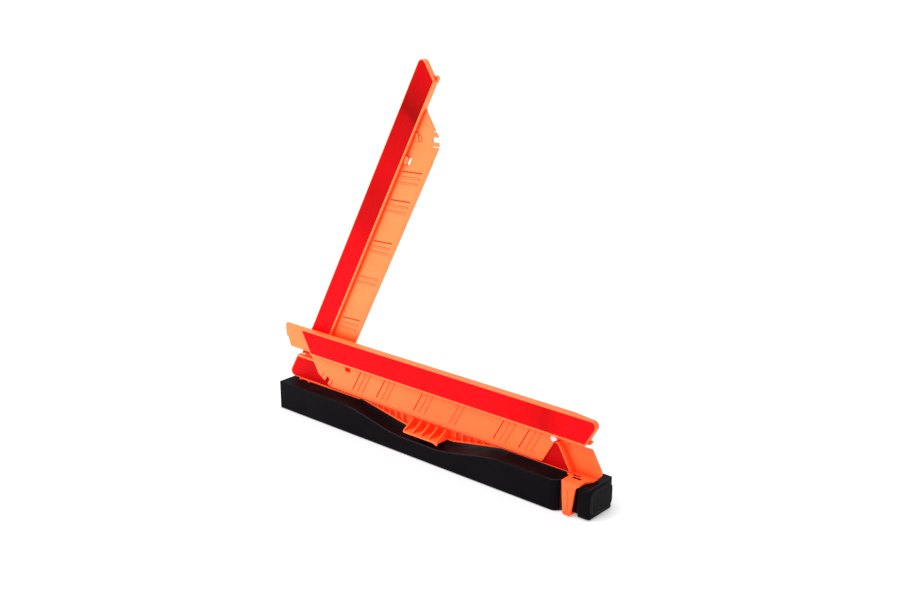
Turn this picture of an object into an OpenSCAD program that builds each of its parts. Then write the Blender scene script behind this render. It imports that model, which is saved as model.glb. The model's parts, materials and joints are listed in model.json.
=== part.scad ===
// Folding roadside warning triangle on a long weighted base.
// X runs along the base, Y from the front to the back, and Z up.
// The origin is on the floor, on the axis that the triangle swivels about.

/* [Triangle arms] */
// Length of an arm between its sharp corners
arm_l = 468; // [464:1:470]
// Full width of an arm, from its outer edge to its inner edge
arm_w = 64; // [60:1:68]
// Width of the box section that carries the red lenses
housing_w = 29.4; // [28:0.2:30]
// Thickness of the box section
housing_t = 9.5; // [9:0.1:9.6]
// Thickness of the orange flange
flange_t = 1.6; // [1.4:0.1:1.8]
// Thickness of a red lens
lens_t = 1.6; // [1.2:0.1:1.8]
// Distance between the planes of two neighbouring arms
layer_pitch = 6.3; // [6.2:0.1:6.6]
// Height of the bottom arm's outer edge above the floor
arm_z = 38.7; // [38.7:0.1:42]
// Angle of the left arm above the base
raise_angle = 62; // [0:1:62]

/* [Hinge rivets] */
// Distance of a hinge rivet from the outer edges of both its arms
rivet_inset = 33.6; // [33.5:0.1:34.5]
// Radius of the rivet's shank
rivet_r = 2.5; // [2:0.1:2.6]
// Radius of the rivet's head
rivet_head_r = 4; // [3.5:0.1:4]

/* [Base] */
// Length of the base
base_l = 465; // [462:1:470]
// Width of the base
base_w = 49; // [48:1:52]
// Height of the base at its ends
base_h = 35.6; // [34.6:0.2:35.6]
// Height of the base at the bottom of its saddle
saddle_z = 20.4; // [19.6:0.2:20.6]
// Half length of the flat at the bottom of the saddle
saddle_flat = 28; // [20:1:32]
// Distance from the middle of the base to the top of the saddle's slope
saddle_end = 116; // [110:1:120]
// Wall thickness of the base
base_wall = 2.6; // [2:0.1:3]

/* [Swivel] */
// Radius of the stem that the triangle turns on
stem_r = 8; // [7:0.5:9]
// Half width of the square swivel plate
plate_half = 25.5; // [24:0.5:28]

/* [Storage latch] */
// Left edge of the latch strap at the top
strap_x = 198.6; // [198:0.2:199]
// Width of the latch strap at the top
strap_w = 21; // [20:0.5:21]

/* [Hidden] */
$fn = 48;

cut = 0.5;                  // how far a cutting shape runs past the face that it opens
run_gap = 0.05;             // running clearance of a pin in its hole
stack_gap = 0.05;           // clearance between stacked pieces of a hinge

half_t = housing_t / 2;
half_f = flange_t / 2;
arm_half = arm_l / 2;
rivet_x = arm_half - rivet_inset / tan(30);
rivet_z = arm_z + rivet_inset;

rim_outer = 0.8;            // orange rim beside the lens, along the outer edge
rim_inner = 2.1;            // orange rim beside the lens, along the flange
rim_end = 1.2;              // orange rim around the lens at a corner of the triangle
wall = 1.8;                 // wall where a lens stops short of the corner
ledge = 1.2;                // ledge that a lens rests on
corner_r = 6;               // radius of the triangle's corners
plate_front = -2.2;         // front face of the thin plate at an arm's back end
tip_hole = 114.5;           // middle of the raised arm's flange hole, from its sharp apex
lap_z = -1.25;              // rear face of an arm where it laps a neighbour's plate
hinge_wall_u = 31.5;        // end of the box section beside a hinge
tip_wall_u = 26.5;          // end of the box section at the folded arm's free tip

// The apex snap fork is laid out from the triangle's centre line and its sharp apex
fork_x = 17;                // reach of the fork past the centre line
fork_root_x = 9;            // bottom of the fork's notch
fork_d = [82, 87.5, 93, 97.5];  // depths of the fork's edges below the apex

// Louvre groups, by depth of their middles below the apex
louvre_depths = [135.1, 168.9, 219.8, 259.4, 321, 351];
louvre_pitch = 6.6;
louvre_depth = 1.15;        // depth of a louvre's groove in the flange
louvre_groove_w = 1.6;      // width of that groove
rib_h = 0.6;                // height of a louvre's ribs above the flange
lug_h = 1.6;                // height of the snap lug above the flange
louvre_t = [32.5, 57.5];    // where a louvre starts and ends across the arm

washer_t = 0.6;
hub_r = 3.8;                // moulded hub around a hinge rivet
bush_r = 10;
bush_top = 25.9;
plate_x = 2.5;              // the plate reaches a little further to the latch's side
plate_z = 26;
plate_t = 2.2;
stem_z = 9;
boss_z = 10.6;              // underside of the base's swivel boss
plate_y = 22.5;             // half depth of the swivel plate
rim_z = 0.3;                // height of the base's rim above the floor
cover_t = 2.2;
body_end_x = 195.5;         // right end of the base's main body
body_radii = [5, 12, 3, 22];  // the body's corners in plan, from the left front one round
end_top_r = 4;              // radius along the top of the base's left end
block_x = 215.8;            // left face of the base's end block
block_inset = 4;            // how far the end block's front face is set back
block_z = [0.8, 35.5];      // underside and top of the end block
panel_t = 2;                // how far the raised panel stands out of the block's end
neck_y = -17.8;             // front face of the neck behind the latch strap
neck_z = 34.6;              // top of the neck
screw_places = [[-216, 0], [-104, -14], [-104, 14], [104, -14], [104, 14], [207, 6]];
ballast_x = 112;
ballast_l = 76;
shelf_z = [36, 38.4];       // underside and top of the latch shelf
strap_y = -23.2;            // front face of the latch strap
strap_t = 2.4;
hook_z = 0.5;               // underside of the strap's hook

// ---- Outlines ----

function unit(v) = v / norm(v);
function turn_way(a, b) = sign(a.x * b.y - a.y * b.x);

// Points of the corner at p between a and b, rounded to radius r
function round_corner(a, p, b, r) =
    let (
        to_a = unit(a - p),
        to_b = unit(b - p),
        half = acos(to_a * to_b) / 2,
        centre = p + unit(to_a + to_b) * r / sin(half),
        first = p + to_a * r / tan(half) - centre,
        start = atan2(first.y, first.x),
        sweep = turn_way(-to_a, to_b) * (180 - 2 * half),
        steps = ceil(abs(sweep) / 12)
    )
    r == 0 ? [p] :
        [for (i = [0:steps]) let (turn = start + sweep * i / steps) centre + r * [cos(turn), sin(turn)]];

// A closed outline with a radius at each of its corners
function rounded(points, radii) =
    let (n = len(points))
    [for (i = [0:n - 1])
        each round_corner(points[(i + n - 1) % n], points[i], points[(i + 1) % n], radii[i])];

// An arm lies flat in its own frame: X from its front corner to its back corner, Y from its
// outer edge inwards, +Z towards the front. At the front corner its front lens runs right to
// the end; at the back corner only a thin plate and the back lens do.
// u is the distance from the slanting line that ends the arm, t the distance from its outer edge.
function from_front(u, t) = [u / sin(60) + t / tan(60), t];
function from_back(u, t) = [arm_l - u / sin(60) - t / tan(60), t];

front_pivot = from_front(rivet_inset, rivet_inset);
back_pivot = from_back(rivet_inset, rivet_inset);

module slab(z0, z1) {
    translate([0, 0, z0]) linear_extrude(z1 - z0) children();
}

module housing_outline(wall_u) {
    polygon(rounded(
        [from_front(0, 0), from_back(wall_u, 0),
         from_back(wall_u, housing_w), from_front(0, housing_w)],
        [corner_r, 0.6, 0.6, 2.5]));
}

// Plate behind the neighbour's corner, with its end parallel to the neighbour's edge
module corner_plate_outline(wall_u) {
    polygon(rounded(
        [from_back(wall_u + wall, 0), from_back(0, 0),
         from_back(0, housing_w), from_back(wall_u + wall, housing_w)],
        [0, 6, 2.5, 0]));
}

// Plate at the folded arm's free tip, with a stepped end
module tip_plate_outline(wall_u) {
    polygon(rounded(
        [from_back(wall_u + wall, 0), [arm_l + 3.4, 0], [arm_l + 2.4, 17], [arm_l - 0.4, 17.6],
         [arm_l - 4.6, housing_w], from_back(wall_u + wall, housing_w)],
        [0, 3, 0.5, 0.5, 2, 0]));
}

module front_lens_outline(wall_u, shrink = 0) {
    lens_end = housing_w - rim_inner - shrink;
    polygon(rounded(
        [from_front(rim_end + shrink, rim_outer + shrink),
         from_back(wall_u + wall + shrink, rim_outer + shrink),
         from_back(wall_u + wall + shrink, lens_end), from_front(rim_end + shrink, lens_end)],
        [corner_r - 1, 0.5, 0.5, 2]));
}

module back_lens_outline(stop_u, shrink = 0) {
    lens_end = housing_w - rim_inner - shrink;
    polygon(rounded(
        [from_front(hinge_wall_u + wall + shrink, rim_outer + shrink),
         from_back(stop_u + shrink, rim_outer + shrink),
         from_back(stop_u + shrink, lens_end), from_front(hinge_wall_u + wall + shrink, lens_end)],
        [0.5, 5, 2, 0.5]));
}

// ---- Features of the flange ----

// Stands at the sharp apex of an arm's free end, with X across the centre line and Y up
module at_front_apex() {
    rotate(120) children();
}

module at_back_apex() {
    translate([arm_l, 0]) mirror([1, 0]) rotate(120) children();
}

// How far from the centre line a point at depth d and distance t from the outer edge lies
function apex_x(d, t) = (2 * t - d) / tan(60);

module louvre_line(d, width) {
    x0 = apex_x(d, louvre_t[0]);
    x1 = apex_x(d, louvre_t[1]);
    translate([x0, -d - width / 2]) square([x1 - x0, width]);
}

module louvre_grooves() {
    for (i = [0, 1, 2, 4, 5])
        louvre_line(louvre_depths[i] - louvre_pitch, louvre_groove_w);
}

module louvre_ribs() {
    for (d = louvre_depths) {
        louvre_line(d, 1.2);
        louvre_line(d + louvre_pitch, 1.2);
    }
}

module fork_cuts() {
    translate([fork_root_x, -fork_d[0]]) square([10, 1]);
    translate([fork_root_x, -fork_d[2]]) square([10, fork_d[2] - fork_d[1]]);
    translate([fork_x - 10, -fork_d[3] - 1.1]) square([14, 1.1]);
}

// Small lug on the raised arm, beside its box section
module snap_lug() {
    translate([-14, -93]) square([3.2, 8]);
}

// Low foot of the lug, thin enough to fold over the bottom arm
module snap_lug_foot() {
    translate([-11, -93]) square([4, 5.4]);
}

// Shut-off hole beside the box section
module flange_hole(middle) {
    translate([middle - 4.5, housing_w + 2.4]) square([9, 5.6]);
}

// Where the box section is thinned from behind, so that the neighbour's plate laps it
module lap_outline() {
    polygon([from_front(-3, -1), from_front(hinge_wall_u, -1), from_front(hinge_wall_u, housing_w),
             from_front(-3, housing_w)]);
}

// Carries an arm's outer edge from its full thickness to its thinned end in a slope
module lap_slope() {
    full_x = (hinge_wall_u + 1) / sin(60);
    translate([0, 1.5, 0]) rotate([90, 0, 0]) linear_extrude(1.5)
        polygon([[full_x, -half_t], [full_x, lap_z + 1], [12, lap_z + 1], [12, lap_z]]);
}

// Small tab on the blunt corner of an arm's front end. On the right arm it drops into the
// shelf's notch when the arm is raised
module end_tab() {
    slab(1.1 - half_t, lap_z + 1.5) polygon(rounded(
        [from_front(2, 24.5), from_front(-2.6, 24.5), from_front(-2.6, 28.6), from_front(2, 28.6)],
        [0, 0.8, 0.8, 0]));
}

// Flange outline: each end is cut parallel to the neighbouring arm's edge, and a free end
// is cut back to the fork's reach past the centre line
module flange_outline(front_u, back_u, front_free, back_free) {
    reach = fork_x * tan(60);
    root = housing_w - 1;
    front_corner = front_free
        ? [from_front(arm_w - reach, arm_w), from_front(front_u, front_u + reach)]
        : [from_front(front_u, arm_w)];
    back_corner = back_free
        ? [from_back(back_u, back_u + reach), from_back(arm_w - reach, arm_w)]
        : [from_back(back_u, arm_w)];
    points = concat(
        [from_back(back_u, root)], back_corner, front_corner, [from_front(front_u, root)]);
    radii = concat([0], back_free ? [0, 5] : [3], front_free ? [5, 0] : [3], [0]);
    polygon(rounded(points, radii));
}

module inner_lip(front_u, back_u) {
    polygon([from_front(front_u + 6, arm_w - 1.4), from_front(front_u + 6, arm_w),
             from_back(back_u + 6, arm_w), from_back(back_u + 6, arm_w - 1.4)]);
}

// ---- One arm ----

// front_u and back_u: where the flange's ends are cut; front_free, back_free: which end is the apex
module arm_frame(wall_u, front_u, back_u, front_free = false, back_free = false, stepped_tip = false) {
    difference() {
        union() {
            slab(-half_t, half_t) housing_outline(wall_u);
            slab(-half_t, plate_front) {
                if (stepped_tip) tip_plate_outline(wall_u);
                else corner_plate_outline(wall_u);
            }
            slab(-half_f, half_f) flange_outline(front_u, back_u, front_free, back_free);
            slab(-half_f - 0.5, half_f + 0.5) inner_lip(front_free ? 46 : front_u, back_free ? 46 : back_u);
            if (front_free) {
                slab(0, half_f + rib_h) at_front_apex() louvre_ribs();
                slab(0, half_f + lug_h) at_front_apex() snap_lug();
                slab(0, half_f + rib_h) at_front_apex() snap_lug_foot();
            } else {
                slab(0, half_f + rib_h) at_back_apex() louvre_ribs();
            }
        }
        slab(-half_t - cut, lap_z) lap_outline();
        slab(half_t - lens_t, half_t + cut) front_lens_outline(wall_u);
        slab(half_f, half_t) front_lens_outline(wall_u, ledge);
        slab(-half_t - cut, lens_t - half_t) back_lens_outline(rim_end);
        slab(-half_t, -half_f) back_lens_outline(wall_u + wall, ledge);
        slab(half_f - louvre_depth, half_t) {
            if (front_free) at_front_apex() louvre_grooves();
            else at_back_apex() louvre_grooves();
        }
        slab(-half_t, half_t) {
            if (front_free) at_front_apex() fork_cuts();
            if (back_free) at_back_apex() fork_cuts();
            flange_hole(front_free ? tip_hole : arm_l - 107.5);
        }
    }
    end_tab();
    lap_slope();
}

module front_lens(wall_u) {
    slab(half_t - lens_t, half_t) front_lens_outline(wall_u, run_gap);
}

module back_lens() {
    slab(-half_t, lens_t - half_t) back_lens_outline(rim_end, run_gap);
}

// Sets an arm's own pivot on a hinge and turns the arm in its upright plane
module place_arm(x, y, angle, pivot) {
    translate([x, y, rivet_z]) rotate([0, angle, 0]) rotate([90, 0, 0])
        translate([-pivot.x, -pivot.y, 0]) children();
}

module on_bottom_arm() { place_arm(-rivet_x, 0, 0, front_pivot) children(); }
module on_right_arm() { place_arm(rivet_x, -layer_pitch, 180, front_pivot) children(); }
module on_left_arm() { place_arm(-rivet_x, layer_pitch, 180 - raise_angle, back_pivot) children(); }

// ---- Side arms ----

hub_l = layer_pitch - half_f - washer_t - 2 * stack_gap;

// Hub on the side towards the bottom arm: below the flange on the right arm, above it on the left
module hinged_arm(pivot, hub_side) {
    difference() {
        union() {
            children();
            translate([pivot.x, pivot.y, hub_side < 0 ? -hub_l : 0]) cylinder(r = hub_r, h = hub_l);
            translate([pivot.x, pivot.y, -half_f]) cylinder(r = hub_r, h = flange_t);
        }
        translate([pivot.x, pivot.y, -housing_t]) cylinder(r = rivet_r + run_gap, h = 2 * housing_t);
    }
}

module right_arm_frame() {
    color("orange") on_right_arm() hinged_arm(front_pivot, -1)
        arm_frame(tip_wall_u, 31, 23, back_free = true, stepped_tip = true);
}

module left_arm_frame() {
    color("orange") on_left_arm() hinged_arm(back_pivot, 1) {
        arm_frame(hinge_wall_u, 29, 26, front_free = true);
        wall_block();
    }
}

// Block in the corner between the box section and the flange
module wall_block() {
    translate([tip_hole - 4.5, housing_w - 1, 0]) cube([9, 6.2, half_t - 1.6]);
}

module right_lens_front() { color("red") on_right_arm() front_lens(tip_wall_u); }
module right_lens_back() { color("red") on_right_arm() back_lens(); }
module left_lens_front() { color("red") on_left_arm() front_lens(hinge_wall_u); }
module left_lens_back() { color("red") on_left_arm() back_lens(); }

// ---- Bottom arm ----

gusset_x = 108;             // outer end of the tapering gusset
gusset_flat = 36;           // half length of its level middle
gusset_z = 26;              // its lowest edge
gusset_rim = 1.7;
bracket_pitch = 12.4;
rib_pitch = 10.2;

module gusset_outline(rise) {
    polygon([[-gusset_x + 5 * rise, arm_z + 0.6], [-gusset_flat, gusset_z + rise],
             [gusset_flat, gusset_z + rise], [gusset_x - 5 * rise, arm_z + 0.6]]);
}

// Draws an X-Z outline as a wall between two depths
module upright(y0, y1) {
    translate([0, y1, 0]) rotate([90, 0, 0]) linear_extrude(y1 - y0) children();
}

// Draws a Y-Z outline as a bar between two places along X
module bar(x0, x1) {
    translate([x0, 0, 0]) rotate([90, 0, 90]) linear_extrude(x1 - x0) children();
}

module gusset() {
    difference() {
        upright(-half_f, half_f) gusset_outline(0);
        for (i = [0, 1]) translate([gusset_flat + 6 + rib_pitch * (i + 0.15), -5, 32.2]) cube([2.8, 10, 3.6]);
    }
    upright(-half_t, half_t) difference() {
        gusset_outline(0);
        gusset_outline(gusset_rim);
    }
    intersection() {
        upright(-half_t, half_t) gusset_outline(0);
        for (side = [-1, 1], i = [0:6])
            translate([side * (gusset_flat + 4 + rib_pitch * i) - 0.6, -half_t, gusset_z])
                cube([1.2, housing_t, 20]);
    }
}

// Square plate on the swivel, with triangular brackets up to the arm
module swivel_plate() {
    plate_right = plate_x + plate_half;
    bracket_y = plate_y - 0.6;
    translate([plate_x - plate_half, -plate_y, plate_z]) cube([2 * plate_half, 2 * plate_y, plate_t]);
    upright(-plate_y, 1.4 - plate_y)
        polygon([[plate_right - 9, plate_z + 0.5], [plate_right, plate_z - 2],
                 [plate_right, plate_z + plate_t]]);
    for (i = [-2:2]) bar(plate_x + bracket_pitch * i - 0.7, plate_x + bracket_pitch * i + 0.7)
        polygon([[-bracket_y, plate_z + 1], [bracket_y, plate_z + 1], [bracket_y, plate_z + 3],
                 [half_t, arm_z + 0.5], [-half_t, arm_z + 0.5], [-bracket_y, plate_z + 3]]);
}

// Shelf and strap that hold the base in line under the folded triangle
module storage_latch() {
    shelf_x = strap_x + strap_w;
    slab(shelf_z[0], shelf_z[1]) difference() {
        polygon([[strap_x, strap_y], [shelf_x, strap_y], [shelf_x, -12], [shelf_x + 5, -3],
                 [shelf_x + 5, half_t], [strap_x - 6, half_t], [strap_x - 6, -half_t],
                 [strap_x, -half_t - 3]]);
        translate([strap_x + 4.4, -12.4]) square([11.4, 4.4]);
        translate([strap_x + 1.2, -7.1]) square([10.5, 5]);
    }
    translate([strap_x - 6, -plate_front, shelf_z[0]])
        cube([strap_w + 11, half_t + plate_front, arm_z + 0.6 - shelf_z[0]]);
    difference() {
        upright(strap_y, strap_y + strap_t) polygon(rounded(
            [[strap_x, shelf_z[1]], [strap_x + 0.8, 20], [strap_x + 2.2, hook_z], [strap_x + 11.4, hook_z],
             [strap_x + 16.4, 32], [shelf_x - 1.5, shelf_z[0]], [shelf_x, shelf_z[1]]],
            [0, 20, 1, 1, 6, 1, 0]));
        translate([strap_x + 7.4, strap_y - cut, 4]) cube([1.6, cut + 0.4, 26]);
    }
    translate([strap_x + 3, strap_y + 0.5, hook_z]) cube([8, 8, 1.6]);
}

module bottom_arm_frame() {
    shelf_skin = 0.9;           // the shelf is this thin around its slot and notch
    color("orange") difference() {
        union() {
            on_bottom_arm() arm_frame(hinge_wall_u, 27, 25);
            gusset();
            swivel_plate();
            storage_latch();
            for (x = [-213.3, -198.7]) translate([x, -3.6, base_h + 0.35])
                cylinder(r = 2, h = arm_z + 0.15 - base_h);
            translate([-210, -half_t, arm_z - 1.4]) cube([100, 3, 1.9]);
            translate([0, 0, stem_z]) cylinder(r = stem_r, h = plate_z + 1 - stem_z);
        }
        for (x = [-rivet_x, rivet_x]) translate([x, 0, rivet_z]) rotate([90, 0, 0])
            cylinder(r = rivet_r + 0.02, h = 2 * housing_t, center = true);
        translate([0, 0, stem_z - cut]) cylinder(r = screw_r + 0.02, h = 14 + cut);
        translate([strap_x + 0.6, -14.4, shelf_z[0] - cut])
            cube([17.4, 12.8, shelf_z[1] - shelf_z[0] + cut - shelf_skin]);
    }
}

module bottom_lens_front() { color("red") on_bottom_arm() front_lens(hinge_wall_u); }
module bottom_lens_back() { color("red") on_bottom_arm() back_lens(); }

// ---- Hinge hardware ----

// A rivet along +Y with its head's top face at the origin, as far as the bottom arm's far side
module hinge_rivet() {
    head_t = 1.2;
    dimple_r = 1.5;
    clinch_r = 3.5;
    clinch_t = 0.7;
    shank_l = layer_pitch + flange_t + stack_gap;
    rotate([-90, 0, 0]) rotate_extrude() polygon([
        [0, 0.5], [dimple_r, 0.5], [dimple_r + 0.5, 0], [rivet_head_r - 0.8, 0], [rivet_head_r, 0.7],
        [rivet_head_r, head_t], [rivet_r, head_t], [rivet_r, head_t + shank_l],
        [clinch_r, head_t + shank_l], [clinch_r - 0.5, head_t + shank_l + clinch_t],
        [0, head_t + shank_l + clinch_t]]);
}

rivet_front = layer_pitch + half_f + stack_gap + 1.2;

module hinge_washer() {
    rotate([-90, 0, 0]) difference() {
        cylinder(r = hub_r, h = washer_t);
        translate([0, 0, -cut]) cylinder(r = rivet_r + run_gap, h = washer_t + 2 * cut);
    }
}

module right_hinge_rivet() { color("silver") translate([rivet_x, -rivet_front, rivet_z]) hinge_rivet(); }
module left_hinge_rivet() {
    color("silver") translate([-rivet_x, rivet_front, rivet_z]) rotate([0, 0, 180]) hinge_rivet();
}
module right_hinge_washer() {
    color("white") translate([rivet_x, -half_f - stack_gap - washer_t, rivet_z]) hinge_washer();
}
module left_hinge_washer() {
    color("white") translate([-rivet_x, half_f + stack_gap, rivet_z]) hinge_washer();
}

// ---- Base ----

module rounded_rect(x0, y0, x1, y1, r) {
    polygon(rounded([[x0, y0], [x1, y0], [x1, y1], [x0, y1]], [r, r, r, r]));
}

// Height of the base's top along its length: level ends and a saddle, whose slope is half way
// between a straight one and a cosine
function slope_part(x) = min(1, max(0, (abs(x) - saddle_flat) / (saddle_end - saddle_flat)));
function eased(part) = (part + (1 - cos(180 * part)) / 2) / 2;
function top_z(x) = saddle_z + (base_h - saddle_z) * eased(slope_part(x));

module side_outline(drop) {
    steps = 14;
    run = (saddle_end - saddle_flat) / steps;
    left_end = [-base_l / 2, base_h - drop];
    end_corner = drop > 0 ? [left_end]
        : round_corner([-base_l / 2, rim_z], left_end, [-saddle_end, base_h], end_top_r);
    left = [for (i = [0:steps]) -saddle_end + i * run];
    right = [for (i = [0:steps]) saddle_flat + i * run];
    polygon(concat(
        [[base_l / 2, rim_z], [-base_l / 2, rim_z]], end_corner,
        [for (x = left) [x, top_z(x) - drop]],
        [for (x = right) [x, top_z(x) - drop]],
        [[base_l / 2, base_h - drop]]));
}

// The body seen from above, or the same shape set in by the given distance
module body_plan(inset) {
    left = inset - base_l / 2;
    right = body_end_x - inset;
    half = base_w / 2 - inset;
    polygon(rounded([[left, -half], [right, -half], [right, half], [left, half]],
                    [for (r = body_radii) max(r - inset, 1)]));
}

module neck_plan(inset) {
    rounded_rect(body_end_x - 14, neck_y + inset, block_x + 6, base_w / 2 - 1.5 - inset, 1);
}

module block_plan(inset) {
    rounded_rect(block_x + inset, block_inset - base_w / 2 + inset,
                 base_l / 2 - panel_t - inset, base_w / 2 - inset, max(4.5 - inset, 1));
}

module base_outer() {
    edge_r = 1.2;
    block_edge_r = 3.5;
    panel_r = 7;
    panel_margin = 4.4;
    intersection() {
        upright(-base_w / 2, base_w / 2) side_outline(0);
        slab(0, base_h) body_plan(0);
        bar(-base_l / 2, body_end_x) rounded_rect(-base_w / 2, rim_z, base_w / 2, base_h, edge_r);
    }
    slab(rim_z, neck_z) neck_plan(0);
    intersection() {
        slab(0, base_h) block_plan(0);
        bar(block_x, base_l / 2)
            rounded_rect(block_inset - base_w / 2, block_z[0], base_w / 2, block_z[1], block_edge_r);
    }
    bar(base_l / 2 - 4, base_l / 2)
        rounded_rect(block_inset - base_w / 2 + panel_margin, block_z[0] + panel_margin,
                     base_w / 2 - panel_margin, block_z[1] - panel_margin, panel_r);
}

module base_cavity() {
    intersection() {
        upright(base_wall - base_w / 2, base_w / 2 - base_wall) side_outline(base_wall);
        slab(0, base_h) {
            body_plan(base_wall);
            neck_plan(base_wall);
            block_plan(base_wall);
        }
    }
    slab(-cut, rim_z + cut) cover_outline(0);
}

// Back and top of the pocket that the strap's hook turns into, open to the front and below
latch_pocket = [-12, 3.4];

module cover_outline(gap) {
    difference() {
        union() {
            body_plan(base_wall + gap);
            neck_plan(base_wall + gap);
            block_plan(base_wall + gap);
        }
        translate([body_end_x - 2 - gap, -base_w])
            square([block_x - body_end_x + 4 + 2 * gap, base_w + latch_pocket[0] + 2 + gap]);
    }
}

module base_shell() {
    color([0.11, 0.1, 0.11]) difference() {
        union() {
            difference() {
                base_outer();
                difference() {
                    base_cavity();
                    translate([body_end_x - 2, -base_w, -1])
                        cube([block_x - body_end_x + 4, base_w + latch_pocket[0] + 2, latch_pocket[1] + 3]);
                }
            }
            translate([0, 0, boss_z]) cylinder(r = 13.5, h = bush_top - 1 - boss_z);
            for (place = screw_places) translate([place.x, place.y, rim_z + cover_t])
                cylinder(r = 3.6, h = top_z(place.x) - base_wall - rim_z - cover_t + 1);
            for (x = [-ballast_x + 1.8, ballast_x - 1.8, -ballast_x - ballast_l - 1.8])
                translate([x - 0.8, 1 - base_w / 2, 12]) cube([1.6, base_w - 2, base_h - 16]);
        }
        translate([0, 0, boss_z - cut]) cylinder(r = bush_r, h = bush_top + cut);
        for (place = screw_places) translate([place.x, place.y, rim_z]) cylinder(r = 1.42, h = 12);
        translate([body_end_x, -base_w, -1])
            cube([block_x - body_end_x, base_w + latch_pocket[0], latch_pocket[1] + 1]);
    }
}

module base_bottom_cover() {
    color([0.13, 0.12, 0.13]) difference() {
        slab(rim_z, rim_z + cover_t) cover_outline(0.15);
        for (place = screw_places) translate([place.x, place.y, 0]) {
            cylinder(r = 1.7, h = 6);
            cylinder(r = 3.3, h = rim_z + 1.3);
        }
        pad_blocks(0.1);
    }
}

pad_t = 2;
pad_places = [[-176, 42], [0, 60], [160, 42]];

module pad_blocks(gap) {
    for (place = pad_places)
        slab(-gap, pad_t + gap / 2) translate([place[0], 0])
            rounded_rect(-place[1] / 2 - gap, -13 - gap, place[1] / 2 + gap, 13 + gap, 3);
}

module anti_slip_pads() { color([0.2, 0.2, 0.2]) pad_blocks(0); }

module cover_screws() {
    head_r = 3;
    color("silver") for (place = screw_places) translate([place.x, place.y, rim_z]) difference() {
        union() {
            cylinder(r = head_r, h = 1.3);
            cylinder(r = 1.4, h = 10);
        }
        translate([-2, -0.4, -cut]) cube([4, 0.8, cut + 0.7]);
        translate([-0.4, -2, -cut]) cube([0.8, 4, cut + 0.7]);
    }
}

module ballast(x) {
    color("dimgray") translate([x, 0, rim_z + cover_t]) slab(0, 27)
        rounded_rect(-ballast_l / 2, -19.5, ballast_l / 2, 19.5, 2);
}

module ballast_left() { ballast(-ballast_x - ballast_l / 2); }
module ballast_right() { ballast(ballast_x + ballast_l / 2); }

// ---- Swivel hardware ----

screw_r = 2.4;
washer_z = 7.5;

module swivel_bush() {
    color("ivory") difference() {
        union() {
            translate([0, 0, boss_z]) cylinder(r = bush_r - 0.02, h = bush_top - boss_z);
            translate([0, 0, bush_top - 1]) cylinder(r = 13.2, h = 1);
        }
        translate([0, 0, boss_z - cut]) cylinder(r = stem_r + run_gap, h = bush_top);
    }
}

module swivel_washer() {
    color("silver") translate([0, 0, washer_z]) difference() {
        cylinder(r = 12, h = stem_z - washer_z);
        translate([0, 0, -cut]) cylinder(r = screw_r + 0.1, h = 3);
    }
}

// Cone spring washer between the steel washer and the base's boss
module swivel_spring() {
    color("gray") rotate_extrude() polygon([[8.6, 9.6], [8.6, 10.4], [11.4, 9.9], [11.4, 9.1]]);
}

module swivel_screw() {
    color("silver") difference() {
        union() {
            translate([0, 0, washer_z - 3]) cylinder(r = 5, h = 3);
            translate([0, 0, washer_z]) cylinder(r = screw_r, h = 14);
        }
        translate([0, 0, washer_z - 3 - cut]) cylinder(r = 2.5, h = 1.8 + cut, $fn = 6);
    }
}

base_shell();
base_bottom_cover();
cover_screws();
anti_slip_pads();
ballast_left();
ballast_right();
swivel_bush();
swivel_washer();
swivel_spring();
swivel_screw();
bottom_arm_frame();
bottom_lens_front();
bottom_lens_back();
right_arm_frame();
right_lens_front();
right_lens_back();
left_arm_frame();
left_lens_front();
left_lens_back();
right_hinge_rivet();
right_hinge_washer();
left_hinge_rivet();
left_hinge_washer();
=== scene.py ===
import json
import math
import bpy
from mathutils import Matrix, Vector

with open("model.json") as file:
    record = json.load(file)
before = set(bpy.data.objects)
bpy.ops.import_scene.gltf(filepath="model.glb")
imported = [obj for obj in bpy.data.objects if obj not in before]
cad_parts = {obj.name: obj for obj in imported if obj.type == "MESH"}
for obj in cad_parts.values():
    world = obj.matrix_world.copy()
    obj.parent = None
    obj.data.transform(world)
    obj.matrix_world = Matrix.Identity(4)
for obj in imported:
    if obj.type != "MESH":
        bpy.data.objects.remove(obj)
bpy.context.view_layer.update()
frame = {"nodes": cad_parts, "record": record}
nodes = frame["nodes"]
MM = 0.001
# Length of the base, of an arm between its sharp corners, and the left arm's tilt at rest
BASE_L = 465 * MM
ARM_L = 468 * MM
RAISE = math.radians(62)
JOINTS = {joint["name"]: joint for joint in frame["record"]["behaviour"]["joints"]}
LEFT_HINGE = JOINTS["left_arm_hinge"]["pos_m"]


# ---- Material helpers ----

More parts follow.
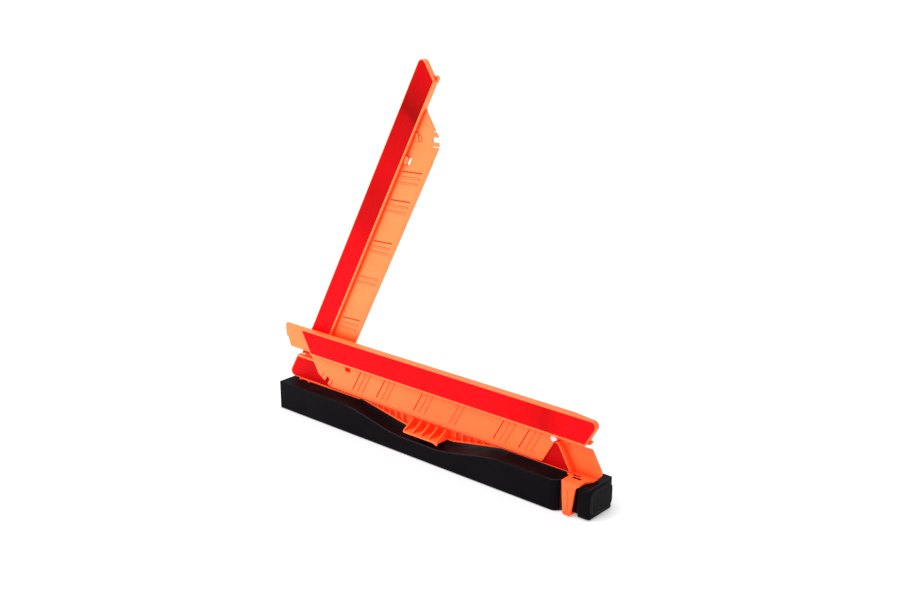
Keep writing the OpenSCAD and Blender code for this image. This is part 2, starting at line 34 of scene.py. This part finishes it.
class Graph:
    """A short way to write a shader's nodes."""

    def __init__(self, name):
        self.mat = bpy.data.materials.new(name)
        self.mat.use_nodes = True
        self.tree = self.mat.node_tree
        self.tree.nodes.clear()
        self.shader = self.add("ShaderNodeBsdfPrincipled")
        out = self.add("ShaderNodeOutputMaterial")
        self.link(self.shader.outputs[0], out.inputs[0])
        self.coord = self.add("ShaderNodeTexCoord").outputs["Object"]

    def add(self, kind, **props):
        node = self.tree.nodes.new(kind)
        for key, value in props.items():
            setattr(node, key, value)
        return node

    def link(self, a, b):
        self.tree.links.new(a, b)

    def value(self, socket, value):
        if isinstance(value, bpy.types.NodeSocket):
            self.link(value, socket)
        else:
            socket.default_value = value

    def noise(self, scale, detail=3.0, rough=0.5, vector=None):
        node = self.add("ShaderNodeTexNoise")
        node.inputs["Scale"].default_value = scale
        node.inputs["Detail"].default_value = detail
        node.inputs["Roughness"].default_value = rough
        self.link(vector or self.coord, node.inputs["Vector"])
        return node.outputs["Fac"]

    def scaled(self, x, y, z):
        node = self.add("ShaderNodeMapping")
        node.inputs["Scale"].default_value = (x, y, z)
        self.link(self.coord, node.inputs["Vector"])
        return node.outputs[0]

    def ramp(self, fac, stops):
        node = self.add("ShaderNodeValToRGB")
        ramp = node.color_ramp
        while len(ramp.elements) < len(stops):
            ramp.elements.new(0.5)
        for element, (pos, colour) in zip(ramp.elements, stops):
            element.position = pos
            rgb = colour if isinstance(colour, tuple) else (colour, colour, colour)
            element.color = (*rgb, 1)
        self.link(fac, node.inputs[0])
        return node.outputs[0]

    def math(self, op, a, b=0.0):
        node = self.add("ShaderNodeMath", operation=op)
        self.value(node.inputs[0], a)
        self.value(node.inputs[1], b)
        return node.outputs[0]

    def mix(self, fac, a, b):
        node = self.add("ShaderNodeMix", data_type="RGBA")
        self.value(node.inputs[0], fac)
        self.value(node.inputs[6], (*a, 1) if isinstance(a, tuple) else a)
        self.value(node.inputs[7], (*b, 1) if isinstance(b, tuple) else b)
        return node.outputs[2]

    def bump(self, height, distance, strength=1.0, under=None):
        node = self.add("ShaderNodeBump")
        node.inputs["Strength"].default_value = strength
        node.inputs["Distance"].default_value = distance
        self.link(height, node.inputs["Height"])
        if under:
            self.link(under, node.inputs["Normal"])
        return node.outputs[0]

    def edges(self, radius, reach=0.99):
        """A mask that is 1 on sharp edges and 0 on open faces, and a normal that rounds them."""
        bevel = self.add("ShaderNodeBevel", samples=6)
        bevel.inputs["Radius"].default_value = radius
        geo = self.add("ShaderNodeNewGeometry")
        dot = self.add("ShaderNodeVectorMath", operation="DOT_PRODUCT")
        self.link(bevel.outputs[0], dot.inputs[0])
        self.link(geo.outputs["Normal"], dot.inputs[1])
        return self.ramp(dot.outputs["Value"], [(0.80, 1.0), (reach, 0.0)]), bevel.outputs[0]

    def set(self, name, value):
        self.value(self.shader.inputs[name], (*value, 1) if isinstance(value, tuple) else value)


def black_plastic():
    g = Graph("black_plastic")
    grain = g.noise(1500, 3, 0.6)
    cloud = g.noise(14, 4)
    scuff = g.noise(60, 6, 0.7, g.scaled(0.25, 1, 1))
    edge, normal = g.edges(2.2 * MM, 0.998)
    tone = g.ramp(cloud, [(0.3, (0.0019, 0.0012, 0.0022)), (0.75, (0.0036, 0.0027, 0.0040))])
    # Moulded edges are painted pale: a painted highlight where they catch the light, and some edge
    # wear
    highlit_and_worn = g.mix(g.math("MULTIPLY", edge, 0.8), tone, (0.062, 0.058, 0.066))
    scuffed = g.ramp(scuff, [(0.62, 0.0), (0.78, 0.3)])
    g.set("Base Color", g.mix(scuffed, highlit_and_worn, (0.009, 0.009, 0.010)))
    g.set("Roughness", g.ramp(g.noise(45, 5, 0.65), [(0.3, 0.42), (0.75, 0.60)]))
    g.set("Normal", g.bump(grain, 0.05 * MM, 0.35, normal))
    g.shader.inputs["Specular IOR Level"].default_value = 0.04
    return g.mat


def orange_plastic(name, falloff_shade):
    """Moulded orange. falloff_shade: painted shade, how much redder it is painted along X, at places
    along the base, where the light falls off.
    """
    g = Graph(name)
    edge, normal = g.edges(0.4 * MM)
    flow = g.noise(9, 5, 0.55, g.scaled(1, 1, 3))
    tone = g.ramp(flow, [(0.25, (1.0, 0.255, 0.065)), (0.75, (1.0, 0.315, 0.095))])
    # Painted shade: redder along X, where the light falls off
    split = g.add("ShaderNodeSeparateXYZ")
    g.link(g.coord, split.inputs[0])
    across = g.math("ADD", g.math("DIVIDE", split.outputs[0], BASE_L), 0.5)
    tone = g.mix(g.ramp(across, falloff_shade), tone, (1.0, 0.150, 0.030))
    # Painted shade: hollows and grooves, found by ambient occlusion, are painted red, as the
    # dye-filled plastic looks in shade
    hollow = g.add("ShaderNodeAmbientOcclusion", samples=8)
    hollow.inputs["Distance"].default_value = 14 * MM
    hollow_shade = g.ramp(hollow.outputs["AO"], [(0.35, 1.0), (0.92, 0.0)])
    groove = g.add("ShaderNodeAmbientOcclusion", samples=8)
    groove.inputs["Distance"].default_value = 3.0 * MM
    groove_shade = g.ramp(groove.outputs["AO"], [(0.60, 1.0), (0.95, 0.0)])
    shaded_tone = g.mix(g.math("MAXIMUM", hollow_shade, groove_shade), tone, (1.0, 0.055, 0.007))
    # Painted shade: the most shut-in places are painted dark red
    shut_in_shade = g.ramp(groove.outputs["AO"], [(0.48, 0.9), (0.80, 0.0)])
    shaded_tone = g.mix(shut_in_shade, shaded_tone, (0.30, 0.010, 0.002))
    # Sharp edges are painted paler orange, a painted highlight
    g.set("Base Color", g.mix(g.math("MULTIPLY", edge, 0.5), shaded_tone, (1.0, 0.42, 0.16)))
    g.set("Roughness", g.ramp(g.noise(70, 4), [(0.3, 0.36), (0.7, 0.50)]))
    g.set("Normal", g.bump(g.noise(900, 2), 0.03 * MM, 0.4, normal))
    g.shader.inputs["Specular IOR Level"].default_value = 0.22
    # Painted light: a steady red glow that keeps shaded parts bright red
    g.shader.inputs["Emission Color"].default_value = (1.0, 0.030, 0.003, 1)
    g.shader.inputs["Emission Strength"].default_value = 0.42
    return g.mat


PRISMS_PER_M = 420


def red_lens(name, start, along, shade_at):
    """A reflector lens. shade_at: painted shade and painted reflections, how dark it is painted at
    places along the arm, which starts at start.
    """
    g = Graph(name)
    # Small corner-cube prisms under a flat outer face
    cells = g.add("ShaderNodeTexVoronoi", feature="F1")
    cells.inputs["Scale"].default_value = PRISMS_PER_M
    cells.inputs["Randomness"].default_value = 0.12
    g.link(g.coord, cells.inputs["Vector"])
    facet_tone = g.add("ShaderNodeSeparateColor")
    g.link(cells.outputs["Color"], facet_tone.inputs[0])
    place = g.add("ShaderNodeVectorMath", operation="SUBTRACT")
    g.link(g.coord, place.inputs[0])
    place.inputs[1].default_value = start
    dot = g.add("ShaderNodeVectorMath", operation="DOT_PRODUCT")
    g.link(place.outputs[0], dot.inputs[0])
    dot.inputs[1].default_value = along
    wobble = g.math("MULTIPLY", g.math("SUBTRACT", g.noise(22, 2), 0.5), 0.05)
    where = g.math("ADD", g.math("DIVIDE", dot.outputs["Value"], ARM_L), wobble)
    # Painted shade and painted reflections: the lens is painted darker at places along its arm
    shade = g.ramp(where, shade_at)
    bright = g.mix(g.noise(11, 3), (0.86, 0.0022, 0.0065), (0.98, 0.0042, 0.0105))
    tone = g.mix(shade, bright, (0.22, 0.0008, 0.0002))
    tone = g.mix(g.math("MULTIPLY", facet_tone.outputs[0], 0.22), tone, (0.45, 0.001, 0.001))
    edge, normal = g.edges(1.0 * MM)
    g.set("Base Color", g.mix(g.math("MULTIPLY", edge, 0.95), tone, (0.20, 0.004, 0.001)))
    g.set("Roughness", g.ramp(g.noise(60, 3), [(0.3, 0.20), (0.7, 0.34)]))
    g.set("Normal", g.bump(cells.outputs["Distance"], 0.10 * MM, 0.25, normal))
    g.shader.inputs["Specular IOR Level"].default_value = 0.03
    g.shader.inputs["Coat Weight"].default_value = 0.012
    g.shader.inputs["Coat Roughness"].default_value = 0.06
    # Painted light: a red glow, dimmer where shade is painted
    g.set("Emission Color", g.mix(shade, (1.0, 0.002, 0.003), (0.35, 0.001, 0.0)))
    g.shader.inputs["Emission Strength"].default_value = 0.20
    return g.mat


def metal(name, colour, rough, scale):
    g = Graph(name)
    edge, normal = g.edges(0.2 * MM)
    tone = g.mix(g.noise(scale, 5), tuple(c * 0.82 for c in colour), colour)
    # Sharp edges are painted pale, a painted highlight
    g.set("Base Color", g.mix(g.math("MULTIPLY", edge, 0.4), tone, (0.95, 0.95, 0.95)))
    g.set("Roughness", g.ramp(g.noise(scale * 3, 4), [(0.3, rough * 0.8), (0.7, rough * 1.25)]))
    g.set("Normal", g.bump(g.noise(1800, 2), 0.02 * MM, 0.4, normal))
    g.shader.inputs["Metallic"].default_value = 1.0
    return g.mat


def nylon():
    g = Graph("nylon")
    edge, normal = g.edges(0.2 * MM)
    g.set("Base Color", g.mix(g.noise(120, 4), (0.74, 0.70, 0.60), (0.84, 0.81, 0.72)))
    g.set("Roughness", g.ramp(g.noise(300, 3), [(0.3, 0.4), (0.7, 0.55)]))
    g.set("Normal", g.bump(g.noise(1500, 2), 0.02 * MM, 0.3, normal))
    return g.mat


def cast_iron():
    g = Graph("cast_iron")
    rough = g.noise(420, 6, 0.7)
    mottle = g.noise(60, 6, 0.65)
    g.set("Base Color", g.ramp(mottle, [(0.3, (0.030, 0.029, 0.028)), (0.7, (0.075, 0.066, 0.058))]))
    g.set("Roughness", g.ramp(rough, [(0.3, 0.6), (0.7, 0.85)]))
    g.set("Normal", g.bump(rough, 0.4 * MM, 0.7))
    g.shader.inputs["Metallic"].default_value = 0.6
    return g.mat


def pad_rubber():
    g = Graph("pad_rubber")
    dots = g.add("ShaderNodeTexVoronoi", feature="F1")
    dots.inputs["Scale"].default_value = 500
    dots.inputs["Randomness"].default_value = 0.0
    g.link(g.coord, dots.inputs["Vector"])
    dust = g.noise(80, 5)
    g.set("Base Color", g.ramp(dust, [(0.3, (0.012, 0.012, 0.013)), (0.7, (0.028, 0.028, 0.030))]))
    g.set("Roughness", g.ramp(g.noise(400, 3), [(0.3, 0.75), (0.7, 0.92)]))
    g.set("Normal", g.bump(dots.outputs["Distance"], 0.3 * MM, 0.6))
    return g.mat


MATERIALS = {
    "black_plastic": black_plastic(),
    "bright_steel": metal("bright_steel", (0.78, 0.78, 0.80), 0.28, 90),
    "spring_steel": metal("spring_steel", (0.30, 0.31, 0.33), 0.35, 120),
    "nylon": nylon(),
    "ballast_iron": cast_iron(),
    "pad_rubber": pad_rubber(),
}

# Painted shade: the arms' plastic is painted redder towards the base's latch end, where the light
# falls off
ORANGES = {
    "bottom": orange_plastic("orange_bottom", [(0.0, 0.0), (0.3, 0.2), (0.55, 0.85), (1.0, 1.0)]),
    "right": orange_plastic("orange_right",
                            [(0.0, 0.0), (0.2, 0.1), (0.55, 0.7), (0.8, 0.7), (1.0, 1.0)]),
    "left": orange_plastic("orange_left", [(0.0, 0.0), (1.0, 0.0)]),
}

# Where each lens starts, which way it runs, and where along its arm it is painted darker with painted
# shade and painted reflections
LENSES = {
    "bottom": red_lens("bottom_lens", (-ARM_L / 2, 0, 0), (1, 0, 0),
                       [(0.0, 0.05), (0.05, 0.28), (0.08, 0.42), (0.14, 0.46), (0.86, 0.55)]),
    "right": red_lens("right_lens", (ARM_L / 2, 0, 0), (-1, 0, 0),
                      [(0.0, 0.05), (0.09, 0.12), (0.145, 0.50), (0.20, 0.30), (0.28, 0.12),
                       (0.40, 0.0)]),
    "left": red_lens("left_lens", LEFT_HINGE, (math.cos(RAISE), 0, math.sin(RAISE)),
                     [(0.0, 0.0), (0.30, 0.0), (0.35, 0.25), (0.42, 0.50), (0.50, 0.58), (0.58, 0.44),
                      (0.66, 0.55), (0.71, 0.62), (0.735, 0.92), (0.78, 0.70), (0.83, 0.50)]),
}

for part in frame["record"]["subparts"]:
    mesh = nodes[part["node"]].data
    mesh.materials.clear()
    side = part["node"].split("_")[0]
    by_arm = {"orange_plastic": ORANGES, "red_lens": LENSES}.get(part["material_slot"])
    mesh.materials.append(by_arm[side] if by_arm else MATERIALS[part["material_slot"]])


# ---- Stage, lights and camera ----

def make_mesh(name, points, faces, material):
    mesh = bpy.data.meshes.new(name)
    mesh.from_pydata(points, [], faces)
    obj = bpy.data.objects.new(name, mesh)
    bpy.context.scene.collection.objects.link(obj)
    obj.data.materials.append(material)
    return obj


def paper():
    g = Graph("studio_paper")
    g.set("Base Color", g.ramp(g.noise(3, 2), [(0.3, 0.80), (0.7, 0.82)]))
    g.set("Roughness", g.ramp(g.noise(300, 2), [(0.3, 0.9), (0.7, 0.95)]))
    g.shader.inputs["Specular IOR Level"].default_value = 0.0
    g.shader.inputs["Emission Color"].default_value = (1, 1, 1, 1)
    g.shader.inputs["Emission Strength"].default_value = 0.32
    return g.mat


FLOOR_HALF = 40
FLOOR_Z = -0.4 * MM
corners = [(x * FLOOR_HALF, y * FLOOR_HALF, FLOOR_Z) for x, y in ((-1, -1), (1, -1), (1, 1), (-1, 1))]
floor = make_mesh("floor", corners, [(0, 1, 2, 3)], paper())


def light(name, pos, strength, softness):
    """A very soft light that shines from pos towards the frame's origin."""
    data = bpy.data.lights.new(name, "SUN")
    data.energy = strength
    data.angle = softness
    obj = bpy.data.objects.new(name, data)
    obj.location = pos
    obj.rotation_euler = (-Vector(pos)).to_track_quat("-Z", "Y").to_euler()
    bpy.context.scene.collection.objects.link(obj)


light("key", (-0.9, -1.2, 1.9), 1.9, 1.0)
light("rim", (-0.4, 1.5, 1.6), 0.8, 1.2)

world = bpy.data.worlds.new("studio")
bpy.context.scene.world = world
world.use_nodes = True
background = world.node_tree.nodes["Background"]
background.inputs["Color"].default_value = (1, 1, 1, 1)
background.inputs["Strength"].default_value = 0.55

# Where the camera stands, and the directions to its right, up and ahead
STAND = Vector((0.84368, -0.94481, 0.59050))
RIGHT = Vector((0.756715, 0.653744, 0.000909))
UP = Vector((-0.200660, 0.230942, 0.952051))
AHEAD = Vector((-0.622188, 0.720614, -0.305938))
camera_data = bpy.data.cameras.new("camera")
camera_data.lens = 48.4
camera_data.sensor_width = 36
camera_data.clip_end = 50
camera = bpy.data.objects.new("camera", camera_data)
camera.matrix_world = Matrix.Translation(STAND) @ Matrix((RIGHT, UP, -AHEAD)).transposed().to_4x4()
bpy.context.scene.collection.objects.link(camera)
bpy.context.scene.camera = camera
bpy.context.scene.view_settings.view_transform = "Standard"
